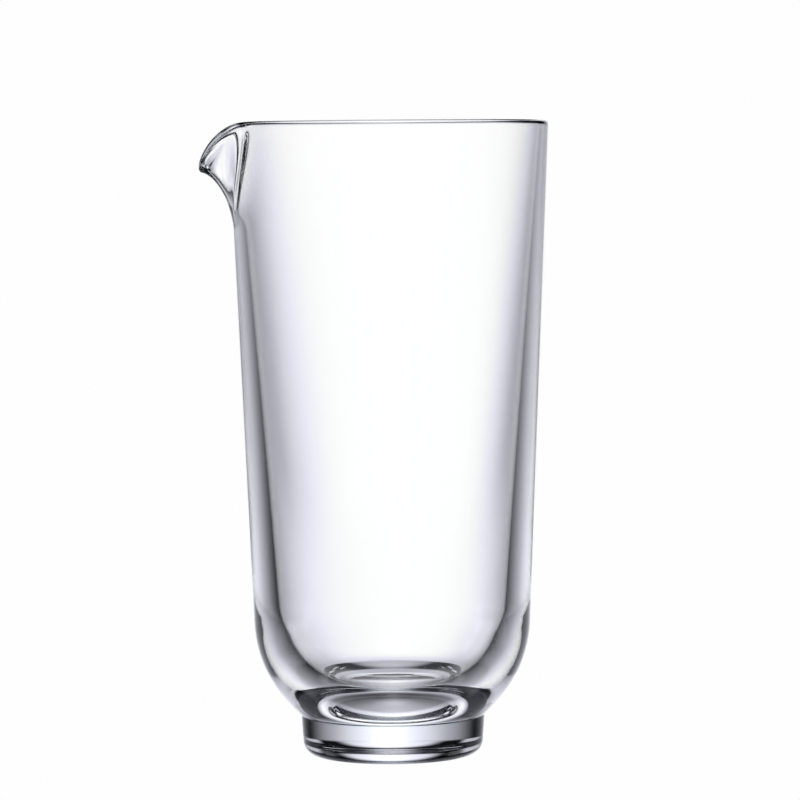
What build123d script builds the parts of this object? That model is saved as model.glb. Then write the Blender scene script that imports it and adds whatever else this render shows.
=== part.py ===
from build123d import *
import os
from math import cos, exp, hypot, radians, sin

# A footed mixing glass in clear crystal, in millimetres. The origin is the centre of the face it
# stands on, +Z is up and the pouring lip points along -X.
# The glass is two gathers of crystal: the bowl with its pulled lip, and the solid disc foot that the
# glassmaker welds under it. They meet face to face on the weld plane.

# Whole glass
height = 178.0
rim_radius = 44.75  # outside of the plain rim
rim_wall = 2.1
wall_slope = 0.0422  # outside radius gained per mm of height

# Outside of the bowl, below the wall
knuckle_radius = 34.8  # big round between the wall and the skirt
neck_radius = 25.85  # the skirt runs in at 45 degrees and meets the foot here
neck_height = 11.4
cove_radius = 0.8  # soft inside corner at the neck

# Inside of the bowl
inner_middle_radius = 37.1
shoulder_radius = 32.1  # where the wall turns into the round floor
shoulder_height = 43.4
floor_height = 15.9
floor_fullness = 0.64  # Bezier handle share: 0.55 is an ellipse, more is squarer

# Foot
weld_height = 10.8
foot_base_radius = 25.1  # side of the foot carried down to the table, before rounding
foot_edge_round = 4.2
punt_radius = 19.0  # shallow hollow under the foot
punt_depth = 1.5

# Pouring lip, pulled out of the rim over a narrow sector. Its angles are in degrees from -X.
# A power says how a shape grows with the rise from the root of the pull to the rim.
lip_height = 30.0  # the pull starts this far below the rim
lip_reach = 8.4  # how far the tip stands out from the plain wall
lip_reach_angle = 9.5  # width of the outward pull at the rim, one sigma
lip_reach_power = 1.5
lip_drop = 11.4  # how far the tip hangs below the rim
lip_drop_angle = 10.0  # width of the drooping notch
lip_drop_power = 1.8
lip_notch_power = 1.6  # across the notch: 2 would be a plain bell, less is more pointed
lip_throat = 0.75  # width of the trough at its root, as a share of its width at the rim
lip_thinning = 0.35  # each side of the wall is thinner by this where the trough was stretched
tip_swell = 0.4  # and thicker by this at the tip's fire-rounded edge
tip_swell_angle = 10.0
tip_swell_power = 8
pinch_depth = 1.6  # scales the dents where the glass was pinched each side of the lip
pinch_angle = 20.0
pinch_power = 0.75
pinch_width = 3.0
lip_half_sector = 42  # the sections through the lip run this far each side of -X
lip_station = 2  # degrees between sections
lip_steps = 12  # points up each side of a section
seam_root = 0.04  # the lip ring is rooted this share of its height down inside the wall below
seam_ease = 0.01  # and is thinner by this on each side, so the two join cleanly

# Where the plain wall stops and the lip sections start
lip_base = height - lip_height
lip_run = lip_height - rim_wall / 2


def outer_radius(z):
    """Outside radius of the plain tapered wall."""
    return rim_radius - wall_slope * (height - z)


inner_rim_radius = outer_radius(height) - rim_wall


def inner_radius(z):
    """Inside radius of the wall, a gentle parabola from the shoulder to the rim."""
    t = (z - shoulder_height) / (height - shoulder_height)
    low, middle, high = shoulder_radius, inner_middle_radius, inner_rim_radius
    return low * (1 - t) ** 2 + 2 * middle * t * (1 - t) + high * t**2


def hump(rise):
    """Nothing at the root and at the rim, and 1 two thirds of the way up."""
    peak = (2 / 3) ** 2 * (1 - 2 / 3)
    return rise**2 * (1 - rise) / peak


def pulled_wall(azimuth, share):
    """Bulge and height of the wall's middle line, at a share of the way from lip_base to the rim."""
    rise = max(share, 0)
    flare = lip_throat + (1 - lip_throat) * rise
    bell = exp(-((azimuth / (lip_reach_angle * flare)) ** 2) / 2)
    droop = exp(-((abs(azimuth) / lip_drop_angle) ** lip_notch_power))
    off_crease = abs(azimuth) - pinch_angle * rise**pinch_power
    dent = exp(-((off_crease / (pinch_width * flare)) ** 2)) * hump(rise) * rise
    bulge = lip_reach * bell * rise**lip_reach_power - pinch_depth * dent
    return Vector(bulge, lip_base + lip_run * share - lip_drop * droop * rise**lip_drop_power)


def wall_thinning(azimuth, share):
    """How much thinner each side of the wall is in the trough."""
    return lip_thinning * exp(-((azimuth / lip_reach_angle) ** 2) / 2) * hump(max(share, 0))


def wall_swell(azimuth, share):
    """How much thicker each side of the wall is at the tip."""
    return tip_swell * exp(-((azimuth / tip_swell_angle) ** 4)) * max(share, 0) ** tip_swell_power


def wall_station(azimuth, share):
    """Outside point, inside point and crest point of the wall, as (radius, height)."""
    step = 0.001
    side_step = 0.1
    plain = lip_base + lip_run * share
    plain_half = (outer_radius(plain) - inner_radius(plain)) / 2
    middle = pulled_wall(azimuth, share) + Vector(outer_radius(plain) - plain_half, 0)
    along = (pulled_wall(azimuth, share + step) - pulled_wall(azimuth, share - step)).normalized()
    inward = Vector(-along.Y, along.X)
    # A wall that is turned sideways is cut at a slant by the section, so it looks thicker there
    sideways = pulled_wall(azimuth + side_step, share) - pulled_wall(azimuth - side_step, share)
    slant = hypot(1, sideways.dot(inward) / (middle.X * radians(2 * side_step)))
    thin_half = plain_half - wall_thinning(azimuth, share)
    half_wall = thin_half * slant + wall_swell(azimuth, share)
    middle -= along * (half_wall - thin_half)
    reach = half_wall - seam_ease
    return middle - inward * reach, middle + inward * reach, middle + along * half_wall


def section_plane(azimuth):
    """Upright plane through the axis, its x running outward at azimuth degrees from -X."""
    outward = Vector(-cos(radians(azimuth)), sin(radians(azimuth)), 0)
    return Plane(origin=(0, 0, 0), x_dir=outward, z_dir=outward.cross(Vector(0, 0, 1)))


def wall_section(azimuth):
    """Closed section through the top of the wall at one azimuth."""
    shares = [-seam_root] + [i / lip_steps for i in range(lip_steps + 1)]
    stations = [wall_station(azimuth, share) for share in shares]
    outside = [station[0] for station in stations]
    inside = [station[1] for station in stations]
    with BuildSketch(section_plane(azimuth)) as section:
        with BuildLine():
            Spline(*outside)
            ThreePointArc(outside[-1], stations[-1][2], inside[-1])
            Spline(*inside)
            Line(inside[0], outside[0])
        make_face()
    return section.sketch


# Foot: a solid disc with a slightly tapered side, a fire-rounded lower edge and a shallow punt
foot_taper = (neck_radius - foot_base_radius) / neck_height
weld_radius = foot_base_radius + foot_taper * weld_height
with BuildPart() as foot:
    with BuildSketch(Plane.XZ):
        with BuildLine():
            TangentArc((0, punt_depth), (punt_radius, 0), tangent=(1, 0))
            Polyline(
                (punt_radius, 0),
                (foot_base_radius, 0),
                (weld_radius, weld_height),
                (0, weld_height),
                (0, punt_depth),
            )
        make_face()
        fillet(vertices().sort_by_distance((foot_base_radius, 0))[0], radius=foot_edge_round)
    revolve(axis=Axis.Z)
foot.part.label = "foot"

# Bowl below the lip: skirt, knuckle, tapered wall and round floor
wall_start = (neck_height - neck_radius + rim_radius - wall_slope * height) / (1 - wall_slope)
shoulder_slope = 2 * (inner_middle_radius - shoulder_radius) / (height - shoulder_height)
floor_handle = floor_fullness * (shoulder_height - floor_height)
middle_height = (lip_base + shoulder_height) / 2
with BuildPart() as bowl:
    with BuildSketch(Plane.XZ):
        with BuildLine():
            Polyline(
                (0, floor_height),
                (0, weld_height),
                (weld_radius, weld_height),
                (neck_radius, neck_height),
                (outer_radius(wall_start), wall_start),
                (outer_radius(lip_base), lip_base),
                (inner_radius(lip_base), lip_base),
            )
            Spline(
                (inner_radius(lip_base), lip_base),
                (inner_radius(middle_height), middle_height),
                (shoulder_radius, shoulder_height),
            )
            Bezier(
                (shoulder_radius, shoulder_height),
                (shoulder_radius - shoulder_slope * floor_handle, shoulder_height - floor_handle),
                (floor_fullness * shoulder_radius, floor_height),
                (0, floor_height),
            )
        make_face()
        fillet(vertices().sort_by_distance((outer_radius(wall_start), wall_start))[0], knuckle_radius)
        fillet(vertices().sort_by_distance((neck_radius, neck_height))[0], cove_radius)
    revolve(axis=Axis.Z)
    # The plain rim, round the back from one side of the lip to the other
    revolve(wall_section(-lip_half_sector), axis=Axis.Z, revolution_arc=360 - 2 * lip_half_sector)
    # The lip itself, lofted through upright sections
    azimuths = range(-lip_half_sector, lip_half_sector + 1, lip_station)
    loft([wall_section(azimuth) for azimuth in azimuths])
bowl.part.label = "bowl"

os.makedirs("parts", exist_ok=True)
export_step(foot.part, "parts/foot.step")
export_step(bowl.part, "parts/bowl.step")
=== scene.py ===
import math

import bpy
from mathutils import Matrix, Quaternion, Vector


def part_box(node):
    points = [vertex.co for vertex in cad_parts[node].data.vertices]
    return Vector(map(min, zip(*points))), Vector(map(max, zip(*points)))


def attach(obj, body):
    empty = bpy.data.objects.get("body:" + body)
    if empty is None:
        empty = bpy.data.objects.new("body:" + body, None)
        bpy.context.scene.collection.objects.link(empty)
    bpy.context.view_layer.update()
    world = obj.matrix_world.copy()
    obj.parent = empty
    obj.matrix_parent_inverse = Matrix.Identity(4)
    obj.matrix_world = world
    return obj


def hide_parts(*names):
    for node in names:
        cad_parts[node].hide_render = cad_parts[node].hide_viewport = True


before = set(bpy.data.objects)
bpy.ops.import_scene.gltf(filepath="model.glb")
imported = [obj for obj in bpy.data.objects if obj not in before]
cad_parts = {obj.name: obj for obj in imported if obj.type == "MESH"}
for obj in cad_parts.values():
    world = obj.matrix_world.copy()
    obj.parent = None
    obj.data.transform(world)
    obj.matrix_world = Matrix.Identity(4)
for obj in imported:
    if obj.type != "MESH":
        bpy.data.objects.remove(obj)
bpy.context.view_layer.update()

# A footed mixing glass in clear crystal: a bowl with a pulled pouring lip and the solid disc foot it
# is welded to. Lengths are in metres and angles in degrees unless a name or comment says otherwise.
# +Z is up, the lip points along -X and the table is at Z = 0.

MM = 0.001

# Driving dimensions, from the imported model
bowl_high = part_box("bowl")[1]
foot_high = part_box("foot")[1]
height = bowl_high.z - 0.021 * MM  # the shoulders of the lip stand this far above the plain rim
weld_height = foot_high.z
weld_radius = foot_high.x
rim_radius = bowl_high.x + 0.05 * MM  # the rounded rim stops just inside the wall's own line

# Outside of the bowl
rim_wall = 2.1 * MM
wall_slope = 0.0422  # outside radius gained per unit of height
knuckle_radius = 34.8 * MM
neck_radius = weld_radius + 0.04 * MM
neck_height = weld_height + 0.6 * MM
cove_radius = 0.8 * MM

# Inside of the bowl
inner_middle_radius = 37.1 * MM
shoulder_radius = 32.1 * MM
shoulder_height = 43.4 * MM
floor_height = 15.9 * MM
floor_fullness = 0.64  # Bezier handle share: 0.55 is an ellipse, more is squarer

# Foot
foot_base_radius = weld_radius - 0.71 * MM  # its side carried down to the table, before rounding
foot_edge_round = 4.2 * MM
punt_radius = 19.0 * MM  # shallow hollow under the foot
punt_depth = 1.5 * MM

# Pouring lip, pulled out of the rim over a narrow sector. Angles are in degrees from -X. A power says
# how a shape grows with the rise from the root of the pull to the rim.
lip_height = 30.0 * MM  # the pull starts this far below the rim
lip_reach = 8.4 * MM  # how far the tip stands out from the plain wall
lip_reach_angle = 9.5
lip_reach_power = 1.5
lip_drop = 11.4 * MM  # how far the tip hangs below the rim
lip_drop_angle = 10.0
lip_drop_power = 1.8
lip_notch_power = 1.6  # across the notch: 2 would be a plain bell, less is more pointed
lip_throat = 0.75  # width of the trough at its root, as a share of its width at the rim
lip_thinning = 0.35 * MM  # each side of the wall is thinner by this where the trough was stretched
tip_swell = 0.4 * MM  # and thicker by this at the tip's fire-rounded edge
tip_swell_angle = 10.0
tip_swell_power = 8
pinch_depth = 1.6 * MM  # scales the dents where the glass was pinched each side of the lip
pinch_angle = 20.0
pinch_power = 0.75
pinch_width = 3.0
lip_base = height - lip_height
lip_run = lip_height - rim_wall / 2

# How finely the surfaces are built
columns = 320
lip_crowding = 0.62  # how strongly the columns gather round the lip
crest_steps = 14
lip_rows = 56
wall_rows = 26
knuckle_rows = 40
cove_rows = 8
floor_rows = 40
foot_side_rows = 6
foot_edge_rows = 20
punt_rows = 24
smooth_up_to = 35  # faces that meet at more than this keep a sharp edge
punt_strip = 0.15 * MM  # narrow strip of flat faces round the punt, so that its edge shades cleanly


def outer_radius(z):
    """Outside radius of the plain tapered wall."""
    return rim_radius - wall_slope * (height - z)


inner_rim_radius = outer_radius(height) - rim_wall


def inner_radius(z):
    """Inside radius of the wall, a gentle parabola from the shoulder to the rim."""
    t = (z - shoulder_height) / (height - shoulder_height)
    low, middle, high = shoulder_radius, inner_middle_radius, inner_rim_radius
    return low * (1 - t) ** 2 + 2 * middle * t * (1 - t) + high * t**2


def hump(rise):
    """Nothing at the root and at the rim, and 1 two thirds of the way up."""
    peak = (2 / 3) ** 2 * (1 - 2 / 3)
    return rise**2 * (1 - rise) / peak


def pulled_wall(azimuth, share):
    """Bulge and height of the wall's middle line, at a share of the way from lip_base to the rim."""
    rise = max(share, 0)
    flare = lip_throat + (1 - lip_throat) * rise
    bell = math.exp(-((azimuth / (lip_reach_angle * flare)) ** 2) / 2)
    droop = math.exp(-((abs(azimuth) / lip_drop_angle) ** lip_notch_power))
    off_crease = abs(azimuth) - pinch_angle * rise**pinch_power
    dent = math.exp(-((off_crease / (pinch_width * flare)) ** 2)) * hump(rise) * rise
    bulge = lip_reach * bell * rise**lip_reach_power - pinch_depth * dent
    return Vector((bulge, lip_base + lip_run * share - lip_drop * droop * rise**lip_drop_power))


def wall_thinning(azimuth, share):
    """How much thinner each side of the wall is in the trough."""
    return lip_thinning * math.exp(-((azimuth / lip_reach_angle) ** 2) / 2) * hump(max(share, 0))


def wall_swell(azimuth, share):
    """How much thicker each side of the wall is at the tip."""
    return tip_swell * math.exp(-((azimuth / tip_swell_angle) ** 4)) * max(share, 0) ** tip_swell_power


def wall_frame(azimuth, share):
    """Middle of the wall, its half thickness and the direction along it, at one place in the lip ring."""
    step = 0.001
    side_step = 0.1
    plain = lip_base + lip_run * share
    plain_half = (outer_radius(plain) - inner_radius(plain)) / 2
    middle = pulled_wall(azimuth, share) + Vector((outer_radius(plain) - plain_half, 0))
    along = (pulled_wall(azimuth, share + step) - pulled_wall(azimuth, share - step)).normalized()
    # A wall that is turned sideways is cut at a slant by the outline, so it looks thicker there
    sideways = pulled_wall(azimuth + side_step, share) - pulled_wall(azimuth - side_step, share)
    across = sideways.dot(Vector((-along.y, along.x)))
    slant = math.hypot(1, across / (middle.x * math.radians(2 * side_step)))
    thin_half = plain_half - wall_thinning(azimuth, share)
    half_wall = thin_half * slant + wall_swell(azimuth, share)
    return middle - along * (half_wall - thin_half), half_wall, along


def lip_outline(azimuth):
    """The wall above lip_base at one azimuth, up the inside, over the crest and down the outside."""
    inside, outside = [], []
    for row in range(1, lip_rows + 1):
        middle, half_wall, along = wall_frame(azimuth, row / lip_rows)
        inward = Vector((-along.y, along.x))
        inside.append(middle + inward * half_wall)
        outside.append(middle - inward * half_wall)
    crest = []
    for step in range(1, crest_steps):
        turn = math.pi * step / crest_steps
        crest.append(middle + (inward * math.cos(turn) + along * math.sin(turn)) * half_wall)
    return inside + crest + outside[::-1]


def arc(centre, radius, start, end, steps):
    """Points round a circle from one angle to another, in degrees."""
    points = []
    for step in range(steps + 1):
        turn = math.radians(start + (end - start) * step / steps)
        points.append(centre + Vector((math.cos(turn), math.sin(turn))) * radius)
    return points


def rounded_corner(before, corner, after, radius, steps):
    """The arc that a fillet of this radius leaves at a corner of an outline."""
    back = (before - corner).normalized()
    ahead = (after - corner).normalized()
    half = back.angle(ahead) / 2
    centre = corner + (back + ahead).normalized() * radius / math.sin(half)
    first = corner + back * radius / math.tan(half) - centre
    turn = first.angle_signed(corner + ahead * radius / math.tan(half) - centre)
    start = math.degrees(math.atan2(first.y, first.x))
    return arc(centre, radius, start, start - math.degrees(turn), steps)


def bezier(p0, p1, p2, p3, steps):
    """Points along a cubic Bezier curve."""
    points = []
    for step in range(steps + 1):
        t = step / steps
        points.append(p0 * (1 - t) ** 3 + p1 * 3 * t * (1 - t) ** 2 + p2 * 3 * t**2 * (1 - t) + p3 * t**3)
    return points


def floor_outline():
    """Inside of the bowl from the middle of the floor up to the shoulder."""
    slope = 2 * (inner_middle_radius - shoulder_radius) / (height - shoulder_height)
    handle = floor_fullness * (shoulder_height - floor_height)
    return bezier(
        Vector((0, floor_height)),
        Vector((floor_fullness * shoulder_radius, floor_height)),
        Vector((shoulder_radius - slope * handle, shoulder_height - handle)),
        Vector((shoulder_radius, shoulder_height)),
        floor_rows,
    )


def skirt_outline():
    """Outside of the bowl below the tapered wall: knuckle, 45 degree skirt and the cove at the neck."""
    wall_start = (neck_height - neck_radius + outer_radius(0)) / (1 - wall_slope)
    knuckle = Vector((outer_radius(wall_start), wall_start))
    neck = Vector((neck_radius, neck_height))
    weld = Vector((weld_radius, weld_height))
    wall_top = Vector((outer_radius(lip_base), lip_base))
    points = rounded_corner(wall_top, knuckle, neck, knuckle_radius, knuckle_rows)
    return points + rounded_corner(knuckle, neck, weld, cove_radius, cove_rows) + [weld]


def wall_points(start, end, steps, radius_at):
    """Points up or down a wall whose radius is a formula, both ends left out."""
    heights = [start + (end - start) * step / steps for step in range(1, steps)]
    return [Vector((radius_at(z), z)) for z in heights]


def bowl_outline(azimuth):
    """The whole glass of the bowl at one azimuth, from the middle of the floor to the weld's edge."""
    floor = floor_outline()
    skirt = skirt_outline()
    outline = floor + wall_points(shoulder_height, lip_base, wall_rows, inner_radius)
    outline += [Vector((inner_radius(lip_base), lip_base))]
    outline += lip_outline(azimuth)
    outline += [Vector((outer_radius(lip_base), lip_base))]
    return outline + wall_points(lip_base, skirt[0].y, wall_rows, outer_radius) + skirt


def foot_outline(azimuth):
    """The foot from the weld's edge down its side, under its rounded edge and in to the punt.

    It's the same at every azimuth.
    """
    base = Vector((foot_base_radius, 0))
    weld = Vector((weld_radius, weld_height))
    punt_sphere = (punt_radius**2 + punt_depth**2) / (2 * punt_depth)
    spread = math.degrees(math.asin(punt_radius / punt_sphere))
    # The side is straight from just under the weld to a little above its rounded edge
    side_top = weld.lerp(base, 0.02)
    side_end = weld.lerp(base, 0.55)
    outline = [weld, side_top]
    outline += [side_top.lerp(side_end, step / foot_side_rows) for step in range(1, foot_side_rows)]
    outline += rounded_corner(weld, base, Vector((0, 0)), foot_edge_round, foot_edge_rows)
    outline += [Vector((punt_radius + punt_strip, 0))]
    outline += arc(Vector((0, punt_depth - punt_sphere)), punt_sphere, 90 - spread, 90, punt_rows)
    return outline


def column_azimuth(column):
    """Degrees round from -X. Columns gather near the lip, where the wall is shaped most finely."""
    turn = math.pi * (2 * column / columns - 1)
    return math.degrees(turn - lip_crowding * math.sin(turn))


def turned(name, outline_at, azimuths, ends_on_axis):
    """A closed mesh from outlines round the axis, and the face numbers of its two end caps.

    ends_on_axis says of the outlines' first and last points whether they lie on the axis.
    """
    outlines = [outline_at(azimuth) for azimuth in azimuths]
    first = 1 if ends_on_axis[0] else 0
    last = len(outlines[0]) - (2 if ends_on_axis[1] else 1)
    points, faces = [], []
    for row in range(first, last + 1):
        for azimuth, outline in zip(azimuths, outlines):
            radius, z = outline[row]
            turn = math.radians(azimuth)
            points.append((-radius * math.cos(turn), radius * math.sin(turn), z))
    count = len(azimuths)

    def corner(row, column):
        return (row - first) * count + column % count

    for row in range(first, last):
        for column in range(count):
            this_edge = (corner(row, column), corner(row, column + 1))
            next_edge = (corner(row + 1, column + 1), corner(row + 1, column))
            faces.append(this_edge + next_edge)
    caps = []
    for row, z, turned_over in ((first, outlines[0][0].y, True), (last, outlines[0][-1].y, False)):
        centre = len(points)
        points.append((0, 0, z))
        for column in range(count):
            face = (corner(row, column), corner(row, column + 1), centre)
            faces.append(face[::-1] if turned_over else face)
        caps.append(range(len(faces) - count, len(faces)))
    mesh = bpy.data.meshes.new(name)
    mesh.from_pydata(points, [], faces)
    mesh.polygons.foreach_set("use_smooth", [True] * len(faces))
    mesh.set_sharp_from_angle(angle=math.radians(smooth_up_to))
    piece = bpy.data.objects.new(name, mesh)
    bpy.context.scene.collection.objects.link(piece)
    return piece, caps


# Materials

crystal_index = 1.52
crystal_tint = (0.8, 0.93, 1.0)  # light left after a long way through the crystal
tint_per_metre = 2.5
ripple_spacing = 26 * MM  # the soft waves that blowing and fire polishing leave
ripple_stretch = 0.35  # they're drawn out up the wall
ripple_depth = 0.05 * MM
ripple_seed = 3
line_spacing = 3 * MM  # fine draw lines, far longer than they're wide
line_stretch = 0.05
line_depth = 0.0012 * MM
line_seed = 7
polish_roughness = (0.0, 0.012)  # from the clearest places to the faintly hazed ones
haze_spacing = 14 * MM
haze_begins = (0.5, 0.75)  # the part of the noise over which the haze comes in
haze_seed = 11


def new_material(name):
    """An empty node material and its tree."""
    material = bpy.data.materials.new(name)
    material.use_nodes = True
    material.node_tree.nodes.clear()
    return material, material.node_tree


def feed(tree, socket, value):
    """Give a node's input the output of another node, or a plain value."""
    if isinstance(value, bpy.types.NodeSocket):
        tree.links.new(value, socket)
    else:
        socket.default_value = value


def maths(tree, operation, *values):
    """Result of one math node."""
    node = tree.nodes.new("ShaderNodeMath")
    node.operation = operation
    for socket, value in zip(node.inputs, values):
        feed(tree, socket, value)
    return node.outputs[0]


def fade(tree, value, edge, low, high):
    """Smooth change from low to high as a value crosses an edge."""
    node = tree.nodes.new("ShaderNodeMapRange")
    node.interpolation_type = "SMOOTHSTEP"
    names = ("Value", "From Min", "From Max", "To Min", "To Max")
    for name, number in zip(names, (value, *edge, low, high)):
        feed(tree, node.inputs[name], number)
    return node.outputs["Result"]


def between_edges(tree, value, begin, end):
    """1 between two edges, 0 outside them."""
    return maths(tree, "MULTIPLY", fade(tree, value, begin, 0, 1), fade(tree, value, end, 1, 0))


def mixed(tree, factor, first, second):
    """Blend of two colours, or of two levels, from the first at 0 to the second at 1."""
    node = tree.nodes.new("ShaderNodeMix")
    node.data_type = "RGBA"
    # Inputs 6 and 7 and output 2 are the node's sockets for colours
    for number, value in ((0, factor), (6, first), (7, second)):
        feed(tree, node.inputs[number], value)
    return node.outputs[2]


def waves(tree, coordinates, spacing, stretch, seed):
    """Smooth noise from 0 to 1 over the glass. stretch below 1 draws the waves out up the wall."""
    mapping = tree.nodes.new("ShaderNodeMapping")
    mapping.inputs["Scale"].default_value = (1 / spacing, 1 / spacing, stretch / spacing)
    mapping.inputs["Location"].default_value = (seed, seed, seed)
    tree.links.new(coordinates, mapping.inputs["Vector"])
    noise = tree.nodes.new("ShaderNodeTexNoise")
    noise.inputs["Scale"].default_value = 1
    noise.inputs["Detail"].default_value = 1
    tree.links.new(mapping.outputs["Vector"], noise.inputs["Vector"])
    return noise.outputs["Fac"]


def bumped(tree, height_map, depth, normal=None):
    """Surface direction bent by a height map, on top of an earlier one if it's given."""
    bump = tree.nodes.new("ShaderNodeBump")
    bump.inputs["Distance"].default_value = depth
    tree.links.new(height_map, bump.inputs["Height"])
    if normal:
        tree.links.new(normal, bump.inputs["Normal"])
    return bump.outputs["Normal"]


def crystal():
    """Fire-polished clear crystal: soft blown ripples, faint draw lines and a trace of cool colour."""
    material, tree = new_material("clear_crystal")
    coordinates = tree.nodes.new("ShaderNodeTexCoord").outputs["Object"]
    ripples = waves(tree, coordinates, ripple_spacing, ripple_stretch, ripple_seed)
    lines = waves(tree, coordinates, line_spacing, line_stretch, line_seed)
    haze = waves(tree, coordinates, haze_spacing, 1, haze_seed)
    glass = tree.nodes.new("ShaderNodeBsdfPrincipled")
    glass.inputs["Base Color"].default_value = (1, 1, 1, 1)
    glass.inputs["Transmission Weight"].default_value = 1
    glass.inputs["IOR"].default_value = crystal_index
    tree.links.new(fade(tree, haze, haze_begins, *polish_roughness), glass.inputs["Roughness"])
    normal = bumped(tree, lines, line_depth, bumped(tree, ripples, ripple_depth))
    tree.links.new(normal, glass.inputs["Normal"])
    tint = tree.nodes.new("ShaderNodeVolumeAbsorption")
    tint.inputs["Color"].default_value = (*crystal_tint, 1)
    tint.inputs["Density"].default_value = tint_per_metre
    output = tree.nodes.new("ShaderNodeOutputMaterial")
    tree.links.new(glass.outputs["BSDF"], output.inputs["Surface"])
    tree.links.new(tint.outputs["Volume"], output.inputs["Volume"])
    return material


def weld_face():
    """The weld is one glass on both sides, so light crosses it without bending."""
    material, tree = new_material("weld")
    output = tree.nodes.new("ShaderNodeOutputMaterial")
    clear = tree.nodes.new("ShaderNodeBsdfTransparent")
    tree.links.new(clear.outputs["BSDF"], output.inputs["Surface"])
    return material


# Studio. The glass is drawn by what it bends and mirrors, so the light is given by the direction it
# comes from, as the camera sees it: degrees aside of the line of sight and degrees above it. An edge
# is the two angles that the light changes between. A white backdrop shines behind the glass, with a
# bright core and a dimmer surround, and dark screens stand at its sides. On each side there is also a
# stretch of bright table with a white card above it. A strip light hangs behind and above the glass,
# and a soft light overhead.

core_level = 0.62
narrow_core_edge = (3, 18)  # aside, at table height
wide_core_edge = (0, 30)  # aside, on the table close to the glass and high above it
surround_level = 0.56
surround_edge = (16, 58)  # aside
near_reach = 1.7 * height  # the table counts as close to the glass up to here
wide_edge = (0, 9)  # up: the backdrop widens
panel_rise_edge = (3, 9)  # up: the backdrop narrows to a round panel
panel_edge = (19, 30)  # away from the line of sight: that panel ends
steep_edge = (-35, -20)  # up: from steeper down than this, the table shines less
steep_share = 0.5
painted_shade_underfoot_edge = (-80, -60)  # up: and from right under the glass, less still: painted shade of the glass on the table
painted_shade_underfoot_share = 0.2
beside_level = 1.2
beside_sides = ((52, 66), (76, 96))
beside_rise = ((-50, -38), (-28, -18))
card_level = 0.65
card_sides = ((38, 48), (66, 80))
card_rise = ((5, 9), (14, 20))
strip_level = 1.4
strip_side = (8, 30)
strip_rise = ((36, 45), (45, 65))
overhead_level = 0.8
overhead_rise = (68, 85)
room_level = 0.05  # the room in front of the glass
room_side = (76, 96)
field_shift = 1.75  # the whole field is centred this far to the right
cool_grey = (0.975, 0.98, 1.09)  # tint of the light where it's dim
full_white = 1.14  # light of this level and more isn't tinted
tint_fade = 0.16  # and the tint is full this far below it
backdrop_level = 0.99  # of the backdrop and the table as they're seen directly
floor_reach = 40 * height  # the floor ends this far out, on each side
table_gap = 0.05 * MM  # it lies this far under the foot, so that their faces don't coincide


def line_of_light(tree):
    """Degrees aside of the line of sight, and above it, of where a ray of light comes from."""
    geometry = tree.nodes.new("ShaderNodeNewGeometry")
    away = tree.nodes.new("ShaderNodeVectorMath")
    away.operation = "SCALE"
    away.inputs["Scale"].default_value = -1
    tree.links.new(geometry.outputs["Incoming"], away.inputs[0])
    turn = tree.nodes.new("ShaderNodeVectorTransform")
    turn.vector_type = "VECTOR"
    turn.convert_from, turn.convert_to = "WORLD", "CAMERA"
    tree.links.new(away.outputs[0], turn.inputs[0])
    split = tree.nodes.new("ShaderNodeSeparateXYZ")
    tree.links.new(turn.outputs[0], split.inputs[0])
    right, up, ahead = split.outputs
    bearing = maths(tree, "DEGREES", maths(tree, "ARCTAN2", right, ahead))
    aside = maths(tree, "ABSOLUTE", maths(tree, "SUBTRACT", bearing, field_shift))
    return aside, maths(tree, "DEGREES", maths(tree, "ARCSINE", up))


def table_nearness(tree):
    """1 on the table close to the glass, 0 far along it."""
    geometry = tree.nodes.new("ShaderNodeNewGeometry")
    distance = tree.nodes.new("ShaderNodeVectorMath")
    distance.operation = "LENGTH"
    tree.links.new(geometry.outputs["Position"], distance.inputs[0])
    return fade(tree, distance.outputs["Value"], (near_reach, 2 * near_reach), 1, 0)


def backdrop(tree, aside, rise, wideness):
    """Level of the backdrop and the table: a core and a surround, dimmer from steeply below, and dimmer
    still right under the glass, where shade of the glass is painted on the table.
    """
    narrow_core = fade(tree, aside, narrow_core_edge, core_level, 0)
    wide_core = fade(tree, aside, wide_core_edge, core_level, 0)
    surround = fade(tree, aside, surround_edge, surround_level, 0)
    level = maths(tree, "ADD", mixed(tree, wideness, narrow_core, wide_core), surround)
    level = maths(tree, "MULTIPLY", level, fade(tree, rise, steep_edge, steep_share, 1))
    # Painted shade: the table right under the glass is dimmed, as if the glass shaded it
    level = maths(tree, "MULTIPLY", level, fade(tree, rise, painted_shade_underfoot_edge, painted_shade_underfoot_share, 1))
    rise_squared = maths(tree, "MULTIPLY", rise, rise)
    off_centre = maths(tree, "SQRT", maths(tree, "MULTIPLY_ADD", aside, aside, rise_squared))
    panel = fade(tree, off_centre, panel_edge, 1, 0)
    return maths(tree, "MULTIPLY", level, fade(tree, rise, panel_rise_edge, 1, panel))


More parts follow.
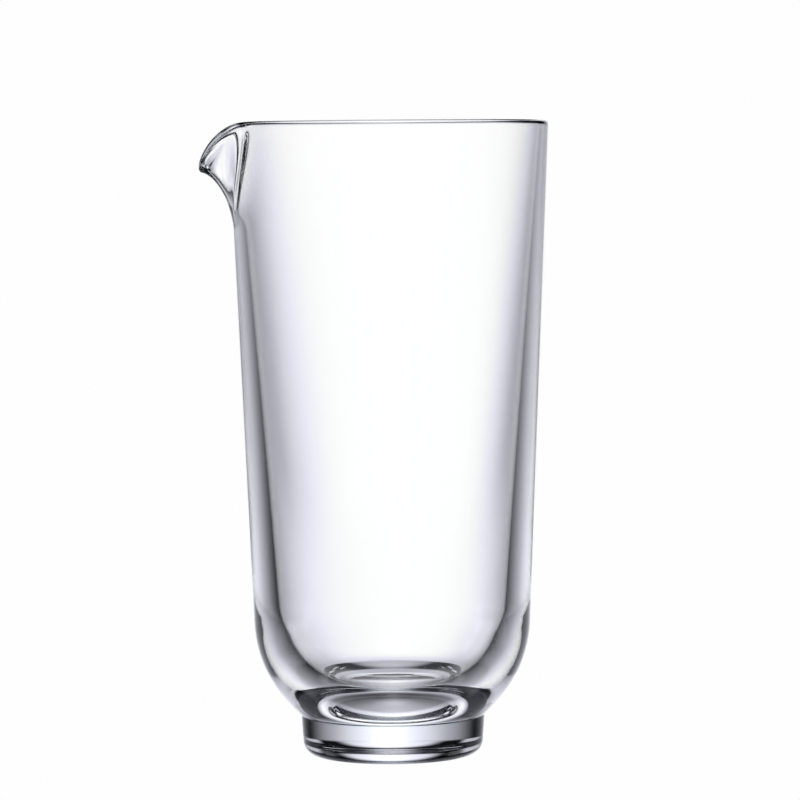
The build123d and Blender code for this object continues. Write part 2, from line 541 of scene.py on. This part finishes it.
def studio_light(tree, on_table):
    """Colour of the light, by the direction it comes from."""
    aside, rise = line_of_light(tree)
    wideness = table_nearness(tree) if on_table else fade(tree, rise, wide_edge, 0, 1)
    level = backdrop(tree, aside, rise, wideness)
    lights = (
        (beside_level, between_edges(tree, aside, *beside_sides), between_edges(tree, rise, *beside_rise)),
        (card_level, between_edges(tree, aside, *card_sides), between_edges(tree, rise, *card_rise)),
        (strip_level, fade(tree, aside, strip_side, 1, 0), between_edges(tree, rise, *strip_rise)),
        (overhead_level, 1, fade(tree, rise, overhead_rise, 0, 1)),
        (room_level, fade(tree, aside, room_side, 0, 1), 1),
    )
    for strength, across, upward in lights:
        level = maths(tree, "MULTIPLY_ADD", maths(tree, "MULTIPLY", across, upward), strength, level)
    whiteness = fade(tree, level, (full_white - tint_fade, full_white), 0, 1)
    colour = tree.nodes.new("ShaderNodeVectorMath")
    colour.operation = "SCALE"
    tree.links.new(mixed(tree, whiteness, (*cool_grey, 1), (1, 1, 1, 1)), colour.inputs[0])
    tree.links.new(level, colour.inputs["Scale"])
    return colour.outputs[0]


def seen_or_bent(tree, on_table):
    """What the camera sees directly is plain and pale. The glass bends and mirrors the studio light."""
    direct = tree.nodes.new("ShaderNodeLightPath").outputs["Is Camera Ray"]
    pale = (backdrop_level, backdrop_level, backdrop_level, 1)
    return mixed(tree, direct, studio_light(tree, on_table), pale)


def light_studio():
    """The studio's backdrop, screens and lights, all as the world round the glass."""
    world = bpy.data.worlds.new("studio")
    bpy.context.scene.world = world
    world.use_nodes = True
    tree = world.node_tree
    tree.nodes.clear()
    background = tree.nodes.new("ShaderNodeBackground")
    output = tree.nodes.new("ShaderNodeOutputWorld")
    tree.links.new(seen_or_bent(tree, False), background.inputs["Color"])
    tree.links.new(background.outputs[0], output.inputs["Surface"])


def lay_floor():
    """The table, a square face that shines like the rest of the studio."""
    mesh = bpy.data.meshes.new("floor")
    corners = ((-1, -1), (1, -1), (1, 1), (-1, 1))
    points = [(x * floor_reach, y * floor_reach, -table_gap) for x, y in corners]
    mesh.from_pydata(points, [], [(0, 1, 2, 3)])
    floor = bpy.data.objects.new("floor", mesh)
    bpy.context.scene.collection.objects.link(floor)
    material, tree = new_material("pale_floor")
    output = tree.nodes.new("ShaderNodeOutputMaterial")
    glow = tree.nodes.new("ShaderNodeEmission")
    tree.links.new(seen_or_bent(tree, True), glow.inputs["Color"])
    tree.links.new(glow.outputs[0], output.inputs["Surface"])
    mesh.materials.append(material)


# Camera: a long lens, a little above the middle of the glass and tilted down at it
camera_distance = 6.914 * height
camera_rise = 1.0602 * height
camera_round_glass = -6  # it stands this far round, so that the lip points a little toward it
camera_tilt_down = 4.1313
camera_pan_right = 0.1238
camera_roll = -0.46
sensor_width = 36  # the sensor and the lens are in millimetres
lens_length = 197.9
sight_limit = 100


def place_camera():
    """Stand the camera in front of the glass and aim it."""
    data = bpy.data.cameras.new("camera")
    data.sensor_width = sensor_width
    data.lens = lens_length
    data.clip_end = sight_limit
    camera = bpy.data.objects.new("camera", data)
    bpy.context.scene.collection.objects.link(camera)
    turn = Quaternion((0, 0, 1), math.radians(camera_round_glass))
    camera.location = turn @ Vector((0, -camera_distance, camera_rise))
    tilt, pan = math.radians(camera_tilt_down), math.radians(camera_pan_right)
    ahead = Vector((math.sin(pan) * math.cos(tilt), math.cos(pan) * math.cos(tilt), -math.sin(tilt)))
    roll = Quaternion((0, 0, 1), math.radians(camera_roll))
    camera.rotation_mode = "QUATERNION"
    camera.rotation_quaternion = turn @ ahead.to_track_quat("-Z", "Y") @ roll
    bpy.context.scene.camera = camera


# The glass, each piece with the weld's disc as its second material
glass = crystal()
weld = weld_face()
azimuths = [column_azimuth(column) for column in range(columns)]
bowl, bowl_caps = turned("bowl_glass", bowl_outline, azimuths, ends_on_axis=(True, False))
foot, foot_caps = turned("foot_glass", foot_outline, azimuths, ends_on_axis=(False, True))
for piece, node, weld_cap in ((bowl, "bowl", bowl_caps[1]), (foot, "foot", foot_caps[0])):
    piece.data.materials.append(glass)
    piece.data.materials.append(weld)
    for number in weld_cap:
        piece.data.polygons[number].material_index = 1
        piece.data.polygons[number].use_smooth = False
    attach(piece, "root")
    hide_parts(node)

light_studio()
lay_floor()
place_camera()

# Light crosses many faces of clear glass before it's lost
light_bounces = 32
straight_through_bounces = 16
scene = bpy.context.scene
scene.view_settings.view_transform = "Standard"
scene.cycles.max_bounces = light_bounces
scene.cycles.transmission_bounces = light_bounces
scene.cycles.glossy_bounces = light_bounces
scene.cycles.transparent_max_bounces = straight_through_bounces
